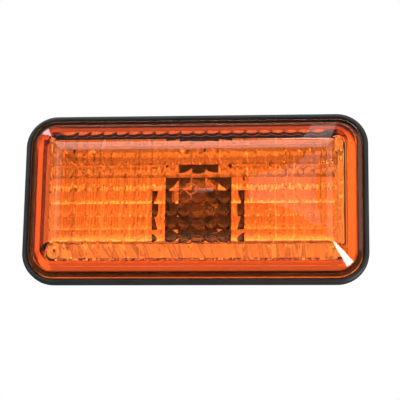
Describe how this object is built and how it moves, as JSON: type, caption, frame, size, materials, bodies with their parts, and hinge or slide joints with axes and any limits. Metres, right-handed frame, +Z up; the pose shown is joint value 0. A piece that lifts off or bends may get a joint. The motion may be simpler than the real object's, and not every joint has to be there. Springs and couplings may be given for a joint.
{
  "type": "side repeater lamp",
  "caption": "Rectangular amber side repeater lamp with moulded square optics, a rubber seal, a clip-in black housing and a twist-in bulb holder.",
  "frame": {"origin": "centre of the seal's rear face, which lies on the wing panel", "axes": "+X along the lamp towards its spring clip, +Z up as fitted, and the lens looks along -Y"},
  "size_m": [0.075, 0.0437, 0.0376],
  "materials": {
    "amber_lens": "polished transparent moulding",
    "black_housing": "moulded",
    "silvered": "metallised",
    "seal_rubber": "matt",
    "spring_steel": "rolled strip",
    "holder_plastic": "moulded",
    "contact_brass": "stamped strip",
    "clear_glass": "clear",
    "filament_wire": "drawn wire",
    "lead_wire": "drawn wire"
  },
  "bodies": {
    "lamp": {"lens": "amber_lens", "housing": "black_housing", "reflector": "silvered", "gasket": "seal_rubber", "spring_clip": "spring_steel"},
    "holder": {"bulb_holder": "holder_plastic", "holder_seal": "seal_rubber", "contact_live": "contact_brass", "contact_earth": "contact_brass", "bulb_glass": "clear_glass", "bulb_filament": "filament_wire", "bulb_lead_live": "lead_wire", "bulb_lead_earth": "lead_wire"}
  },
  "joints": [
    {"name": "holder_twist", "type": "hinge", "parent": "lamp", "child": "holder", "pos_m": [0, 0.013, 0], "axis": [0, 1, 0], "range_deg": [0, 60]}
  ]
}
